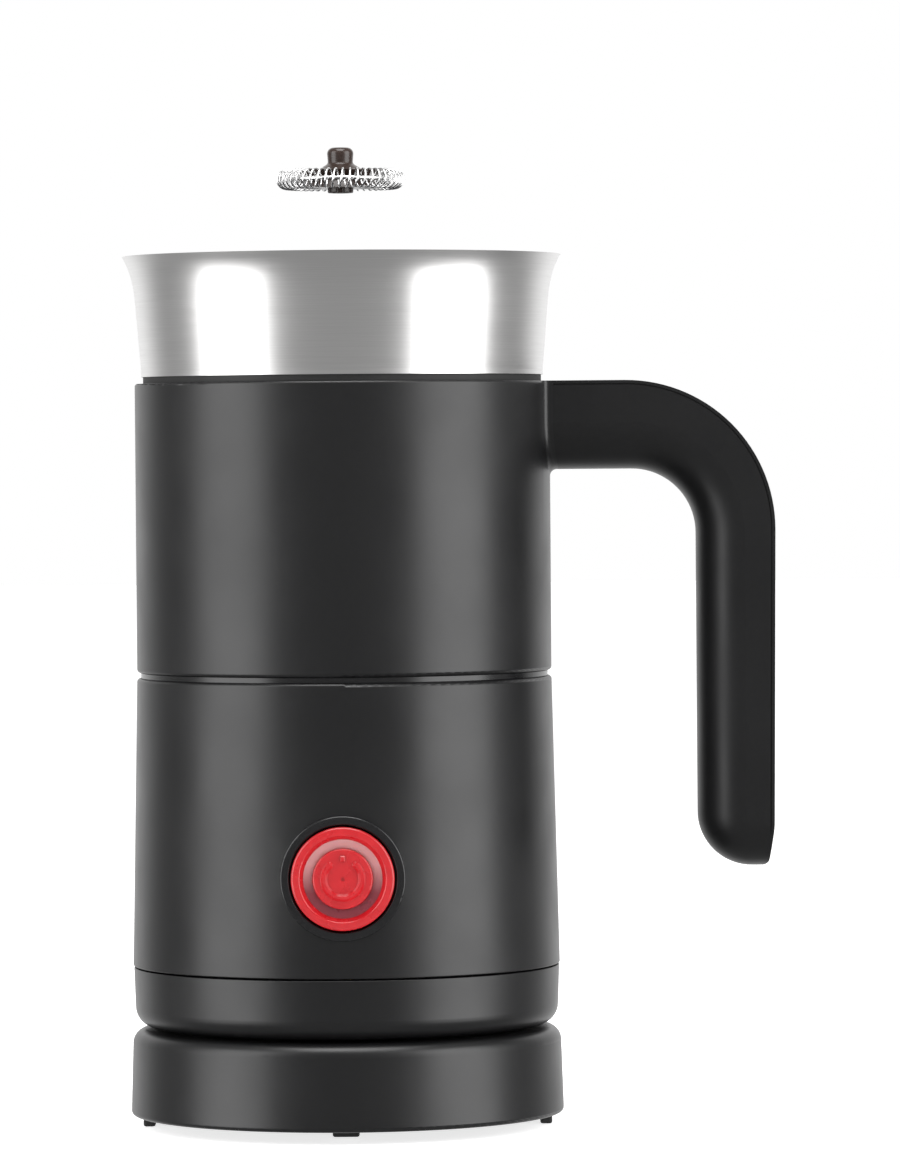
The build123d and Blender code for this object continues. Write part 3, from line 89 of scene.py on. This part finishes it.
# ---------------------------------------------------------------- materials
BLACK = (0.0042, 0.0042, 0.0046)
RAMP_STOPS = (0.32, 0.68)     # where a colour ramp is fully dark and fully light


class Surface:
    """One procedural material: a Principled shader with object-space textures in metres."""

    def __init__(self, name, colour, roughness, metallic=0.0, **sockets):
        self.material = bpy.data.materials.new(name)
        self.material.use_nodes = True
        self.nodes = self.material.node_tree.nodes
        self.links = self.material.node_tree.links
        self.shader = self.nodes["Principled BSDF"]
        self.colour = colour
        self.roughness = roughness
        self.coords = self.nodes.new("ShaderNodeTexCoord").outputs["Object"]
        self.normal = None
        self.put("Base Color", (*colour, 1.0))
        self.put("Roughness", roughness)
        self.put("Metallic", metallic)
        for socket, value in sockets.items():
            self.put(socket.replace("_", " "), value)

    def put(self, socket, value):
        """Sets one of the shader's sockets."""
        self.shader.inputs[socket].default_value = value

    def stretched(self, stretch):
        """The texture coordinates, scaled along each axis."""
        mapping = self.nodes.new("ShaderNodeMapping")
        mapping.inputs["Scale"].default_value = stretch
        self.links.new(self.coords, mapping.inputs["Vector"])
        return mapping.outputs["Vector"]

    def noise(self, scale, detail=3.0, stretch=(1, 1, 1), rough=0.5):
        """Noise from 0 to 1, with about scale features to the metre."""
        texture = self.nodes.new("ShaderNodeTexNoise")
        texture.inputs["Scale"].default_value = scale
        texture.inputs["Detail"].default_value = detail
        texture.inputs["Roughness"].default_value = rough
        self.links.new(self.stretched(stretch), texture.inputs["Vector"])
        return texture.outputs["Fac"]

    def remap(self, value, low, high, start=0.3, end=0.7):
        """The value with its stretch from start to end spread over low to high."""
        node = self.nodes.new("ShaderNodeMapRange")
        self.links.new(value, node.inputs["Value"])
        settings = {"From Min": start, "From Max": end, "To Min": low, "To Max": high}
        for socket, number in settings.items():
            node.inputs[socket].default_value = number
        return node.outputs["Result"]

    def vary_roughness(self, value, spread):
        """Lets the roughness wander either way by spread."""
        low, high = self.roughness - spread, self.roughness + spread
        self.links.new(self.remap(value, low, high), self.shader.inputs["Roughness"])

    def vary_colour(self, value, dark, light):
        """Runs the base colour from dark to light with the value."""
        ramp = self.nodes.new("ShaderNodeValToRGB")
        stops = zip(ramp.color_ramp.elements, (dark, light), RAMP_STOPS)
        for stop, colour, position in stops:
            stop.color = (*colour, 1.0)
            stop.position = position
        self.links.new(value, ramp.inputs["Fac"])
        self.links.new(ramp.outputs["Color"], self.shader.inputs["Base Color"])

    def bump(self, value, strength, height):
        """Adds relief of the given height in metres."""
        node = self.nodes.new("ShaderNodeBump")
        node.inputs["Strength"].default_value = strength
        node.inputs["Distance"].default_value = height
        self.links.new(value, node.inputs["Height"])
        if self.normal is not None:
            self.links.new(self.normal, node.inputs["Normal"])
        self.normal = node.outputs["Normal"]
        self.links.new(self.normal, self.shader.inputs["Normal"])


def shade(colour, factor):
    """The colour made darker or lighter by a factor, no channel over 1."""
    return tuple(min(1.0, channel * factor) for channel in colour)


def moulded(name, colour, roughness, grain=0.15, grain_scale=3600, **sockets):
    """Moulded plastic: fine spark-eroded grain, faint smudges in its gloss."""
    surface = Surface(name, colour, roughness, **sockets)
    surface.vary_roughness(surface.noise(55, 4), 0.035)
    surface.vary_colour(surface.noise(900, 2), shade(colour, 0.88), shade(colour, 1.12))
    surface.bump(surface.noise(grain_scale, 2), grain, 0.04 * MM)
    return surface.material


def brushed(name, colour, roughness, anisotropy=0.7, lines=0.22, spread=0.05):
    """Steel brushed round the vertical axis."""
    surface = Surface(name, colour, roughness, 1.0, Anisotropic=anisotropy, Anisotropic_Rotation=0.25)
    tangent = surface.nodes.new("ShaderNodeTangent")
    tangent.direction_type = "RADIAL"
    tangent.axis = "Z"
    surface.links.new(tangent.outputs["Tangent"], surface.shader.inputs["Tangent"])
    fine = surface.noise(1, 3, (60, 60, 9000), 0.65)
    broad = surface.noise(1, 2, (25, 25, 1400))
    surface.vary_roughness(broad, spread)
    surface.vary_colour(fine, shade(colour, 0.95), shade(colour, 1.04))
    surface.bump(fine, lines, 0.012 * MM)
    return surface.material


def polished(name, colour, roughness, haze=0.03):
    """Polished or plated metal with a faint haze."""
    surface = Surface(name, colour, roughness, 1.0)
    surface.vary_roughness(surface.noise(260, 3), haze)
    surface.vary_colour(surface.noise(700, 2), shade(colour, 0.93), shade(colour, 1.05))
    surface.bump(surface.noise(2400, 2), 0.05, 0.01 * MM)
    return surface.material


def lining(name):
    """Dark non-stick coating on the jug's inside, with a fine metallic speckle."""
    surface = Surface(name, (0.085, 0.085, 0.09), 0.36, 0.35)
    surface.vary_roughness(surface.noise(120, 4), 0.05)
    surface.vary_colour(surface.noise(2600, 2), (0.055, 0.055, 0.06), (0.14, 0.14, 0.145))
    surface.bump(surface.noise(3000, 3), 0.2, 0.03 * MM)
    return surface.material


def red_plastic(name):
    """Glossy red push button, its gloss a little uneven."""
    surface = Surface(name, (0.38, 0.006, 0.010), 0.28, Coat_Weight=0.25, Coat_Roughness=0.12)
    surface.vary_roughness(surface.noise(150, 4), 0.03)
    surface.vary_colour(surface.noise(500, 2), (0.36, 0.005, 0.009), (0.405, 0.008, 0.012))
    surface.bump(surface.noise(4200, 2), 0.06, 0.02 * MM)
    return surface.material


def milky(name):
    """Translucent light ring over unlit lamps, with painted shade and painted light: darker at its
    bottom, lighter at its top.
    """
    surface = Surface(name, (0.34, 0.11, 0.13), 0.30, Subsurface_Weight=0.3, Subsurface_Scale=0.001)
    surface.vary_roughness(surface.noise(300, 3), 0.04)
    # painted shade: the colour runs from dark at the ring's bottom to light at its top, as if lit from
    # above
    low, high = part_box("button_light_ring")
    parts = surface.nodes.new("ShaderNodeSeparateXYZ")
    surface.links.new(surface.coords, parts.inputs["Vector"])
    painted_shade_by_height = surface.remap(parts.outputs["Z"], 0.0, 1.0, low.z, high.z)
    surface.vary_colour(painted_shade_by_height, (0.16, 0.025, 0.035), (0.46, 0.20, 0.20))
    surface.bump(surface.noise(2600, 2), 0.08, 0.02 * MM)
    return surface.material


def clear_lens(name):
    """Clear plastic of the status lamps."""
    surface = Surface(name, (0.85, 0.85, 0.88), 0.12, Transmission_Weight=0.7, IOR=1.5)
    surface.vary_roughness(surface.noise(500, 2), 0.04)
    surface.bump(surface.noise(1500, 2), 0.08, 0.02 * MM)
    return surface.material


def solder_mask(name):
    """Green circuit board with darker tracks showing through."""
    surface = Surface(name, (0.02, 0.13, 0.05), 0.36)
    surface.vary_roughness(surface.noise(200, 3), 0.04)
    surface.vary_colour(surface.noise(1, 2, (900, 120, 900)), (0.012, 0.085, 0.035), (0.03, 0.19, 0.075))
    surface.bump(surface.noise(1, 2, (1200, 160, 1200)), 0.25, 0.03 * MM)
    return surface.material


def build_materials():
    """One material for each of the record's slots."""
    return {
        "shell_black": moulded("shell_black", BLACK, 0.36, IOR=1.50),
        "handle_black": moulded("handle_black", BLACK, 0.40, 0.2, IOR=1.45),
        "trim_black": moulded("trim_black", (0.006, 0.006, 0.0065), 0.24, 0.05),
        "seal_rubber": moulded("seal_rubber", (0.010, 0.010, 0.010), 0.62, 0.3, 2500),
        "foot_rubber": moulded("foot_rubber", (0.016, 0.016, 0.016), 0.75, 0.5, 1800),
        "collar_steel": brushed("collar_steel", (0.71, 0.705, 0.70), 0.32, 0.35, 0.07, 0.02),
        "jug_lining": lining("jug_lining"),
        "spindle_steel": polished("spindle_steel", (0.72, 0.72, 0.73), 0.12),
        "button_red": red_plastic("button_red"),
        "light_ring": milky("light_ring"),
        "hub_brown": moulded("hub_brown", (0.030, 0.018, 0.014), 0.26, 0.08),
        "whisk_wire": polished("whisk_wire", (0.92, 0.92, 0.92), 0.24),
        "sleeve_white": moulded("sleeve_white", (0.72, 0.72, 0.69), 0.42, 0.1),
        "connector_black": moulded("connector_black", (0.018, 0.018, 0.019), 0.48, 0.3),
        "contact_brass": polished("contact_brass", (0.72, 0.50, 0.22), 0.22),
        "terminal_cream": moulded("terminal_cream", (0.66, 0.62, 0.52), 0.45, 0.15),
        "heater_alloy": brushed("heater_alloy", (0.70, 0.71, 0.72), 0.34, 0.4),
        "element_sheath": brushed("element_sheath", (0.34, 0.30, 0.27), 0.42, 0.2),
        "inner_steel": brushed("inner_steel", (0.60, 0.60, 0.61), 0.36, 0.3),
        "screw_steel": polished("screw_steel", (0.56, 0.56, 0.57), 0.26, 0.05),
        "bush_bronze": polished("bush_bronze", (0.45, 0.30, 0.16), 0.38, 0.06),
        "motor_cap_white": moulded("motor_cap_white", (0.74, 0.73, 0.69), 0.42, 0.15),
        "magnet_nickel": polished("magnet_nickel", (0.52, 0.52, 0.53), 0.2),
        "board_green": solder_mask("board_green"),
        "part_black": moulded("part_black", (0.02, 0.02, 0.022), 0.40, 0.2),
        "capacitor_sleeve": moulded("capacitor_sleeve", (0.03, 0.045, 0.13), 0.30, 0.06),
        "fuse_ceramic": moulded("fuse_ceramic", (0.76, 0.73, 0.66), 0.55, 0.3),
        "lamp_clear": clear_lens("lamp_clear"),
    }


def dress_frame(materials):
    """Gives every CAD node the material of its slot."""
    for entry in frame["record"]["subparts"]:
        mesh = frame["nodes"][entry["node"]].data
        mesh.materials.clear()
        mesh.materials.append(materials[entry["material_slot"]])


def shorten_spring():
    """Gives the button's spring a mesh of its own; the seat found at the back of its box is not used."""
    low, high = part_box("button_spring")
    spring = frame["nodes"]["button_spring"]
    seat = (low + high) / 2
    seat.y = high.y
    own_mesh(spring)


# ---------------------------------------------------------------- whisk
def coil_middle(step, circle, winding):
    """Middle of the wire, which winds round a circle as it goes round the whisk's axis."""
    around = 2 * pi * step / COIL_STEPS
    turn = 2 * pi * step / STEPS_PER_TURN
    reach = circle + winding * cos(turn)
    return Vector((reach * cos(around), reach * sin(around), winding * sin(turn)))


def wire_ring(step, circle, winding):
    """Ring of points round the wire, square to it."""
    place = coil_middle(step, circle, winding)
    along = coil_middle(step + 0.5, circle, winding) - coil_middle(step - 0.5, circle, winding)
    along.normalize()
    core = Vector((place.x, place.y, 0)).normalized() * circle
    out = place - core
    out = (out - along * out.dot(along)).normalized()
    side = along.cross(out)
    angles = [2 * pi * index / WIRE_SIDES for index in range(WIRE_SIDES)]
    return [place + (out * cos(angle) + side * sin(angle)) * COIL_WIRE for angle in angles]


def tube_faces(rings, sides):
    """Faces of an endless tube: each ring is joined to the next, and the last to the first."""
    faces = []
    for ring in range(rings):
        here = ring * sides
        there = (ring + 1) % rings * sides
        for index in range(sides):
            other = (index + 1) % sides
            faces.append((here + index, here + other, there + other, there + index))
    return faces


def wire_coil(materials):
    """Closed coil spring wound as one endless wire round the whisk's core ring."""
    low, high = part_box("whisk_coil")
    middle = (low + high) / 2
    tube = (high.z - low.z) / 2
    circle = (high.x - low.x) / 2 - tube
    points = []
    for step in range(COIL_STEPS):
        points += [middle + spot for spot in wire_ring(step, circle, tube - COIL_WIRE)]
    faces = tube_faces(COIL_STEPS, WIRE_SIDES)
    coil = add_mesh("spring_coil", points, faces, materials["whisk_wire"])
    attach(coil, "whisk_rotor")
    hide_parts("whisk_coil")


def add_mesh(name, points, faces, material):
    """New smooth-shaded object of the given mesh, in the scene."""
    mesh = bpy.data.meshes.new(name)
    mesh.from_pydata([tuple(point) for point in points], [], faces)
    mesh.validate()
    mesh.shade_smooth()
    mesh.materials.append(material)
    piece = bpy.data.objects.new(name, mesh)
    bpy.context.scene.collection.objects.link(piece)
    return piece


# ---------------------------------------------------------------- studio
def add_camera():
    """Long lens a little above the middle, looking slightly down."""
    data = bpy.data.cameras.new("camera")
    data.lens = CAMERA_LENS
    data.sensor_width = CAMERA_SENSOR
    data.clip_end = 20
    camera = bpy.data.objects.new("camera", data)
    tilt = Matrix.Rotation(radians(90 - CAMERA_DOWN), 4, "X")
    roll = Matrix.Rotation(radians(CAMERA_ROLL), 4, "Z")
    camera.matrix_world = Matrix.Translation(CAMERA_PLACE) @ tilt @ roll
    bpy.context.scene.collection.objects.link(camera)
    bpy.context.scene.camera = camera


def add_softbox(name, place, aim, size, radiance):
    """Rectangular soft light whose face shines with the given radiance."""
    data = bpy.data.lights.new(name, "AREA")
    data.shape = "RECTANGLE"
    data.size, data.size_y = size
    data.energy = radiance * pi * size[0] * size[1]
    lamp = bpy.data.objects.new(name, data)
    lamp.location = place
    lamp.rotation_mode = "QUATERNION"
    lamp.rotation_quaternion = (Vector(aim) - Vector(place)).to_track_quat("-Z", "Y")
    lamp.visible_camera = False
    bpy.context.scene.collection.objects.link(lamp)


def add_world():
    """White behind the object, dimmer towards the front, as between a lit backdrop and an open studio."""
    world = bpy.data.worlds.new("studio")
    world.use_nodes = True
    bpy.context.scene.world = world
    nodes, links = world.node_tree.nodes, world.node_tree.links
    background = nodes["Background"]
    parts = nodes.new("ShaderNodeSeparateXYZ")
    links.new(nodes.new("ShaderNodeTexCoord").outputs["Generated"], parts.inputs["Vector"])
    grey = nodes.new("ShaderNodeMapRange")
    grey.interpolation_type = "SMOOTHSTEP"
    settings = {"From Min": GREY_FROM, "From Max": WHITE_FROM, "To Min": FRONT_GREY, "To Max": BACK_WHITE}
    for socket, number in settings.items():
        grey.inputs[socket].default_value = number
    links.new(parts.outputs["Y"], grey.inputs["Value"])
    seen = nodes.new("ShaderNodeMix")
    seen.data_type = "FLOAT"
    links.new(nodes.new("ShaderNodeLightPath").outputs["Is Camera Ray"], seen.inputs["Factor"])
    links.new(grey.outputs["Result"], seen.inputs["A"])
    seen.inputs["B"].default_value = 1.0
    links.new(seen.outputs["Result"], background.inputs["Strength"])
    background.inputs["Color"].default_value = (1, 1, 1, 1)


def add_floor():
    """Pale round floor with a glow of its own, left out of the object's reflections."""
    angles = [2 * pi * side / FLOOR_SIDES for side in range(FLOOR_SIDES)]
    points = [(FLOOR_RADIUS * cos(angle), FLOOR_RADIUS * sin(angle), 0) for angle in angles]
    glow = {"Emission_Color": (1, 1, 1, 1), "Emission_Strength": FLOOR_GLOW}
    surface = Surface("floor_pale", (0.9, 0.9, 0.9), 0.8, **glow)
    surface.vary_colour(surface.noise(3, 2), (0.89, 0.89, 0.89), (0.91, 0.91, 0.91))
    floor = add_mesh("floor", points, [tuple(range(FLOOR_SIDES))], surface.material)
    floor.visible_glossy = False


def add_lights():
    """A tall soft light on each side of the front, and a square one above."""
    for name, (azimuth, width, radiance) in SOFTBOXES.items():
        angle = radians(azimuth)
        place = (SOFTBOX_AWAY * sin(angle), -SOFTBOX_AWAY * cos(angle), SOFTBOX_RISE)
        add_softbox("softbox_" + name, place, SOFTBOX_AIM, (width, SOFTBOX_HEIGHT), radiance)
    add_softbox("softbox_top", TOP_PLACE, TOP_AIM, (TOP_SIZE, TOP_SIZE), TOP_RADIANCE)


add_camera()
finishes = build_materials()
dress_frame(finishes)
shorten_spring()
wire_coil(finishes)
add_world()
add_floor()
add_lights()
bpy.context.scene.view_settings.view_transform = "Standard"
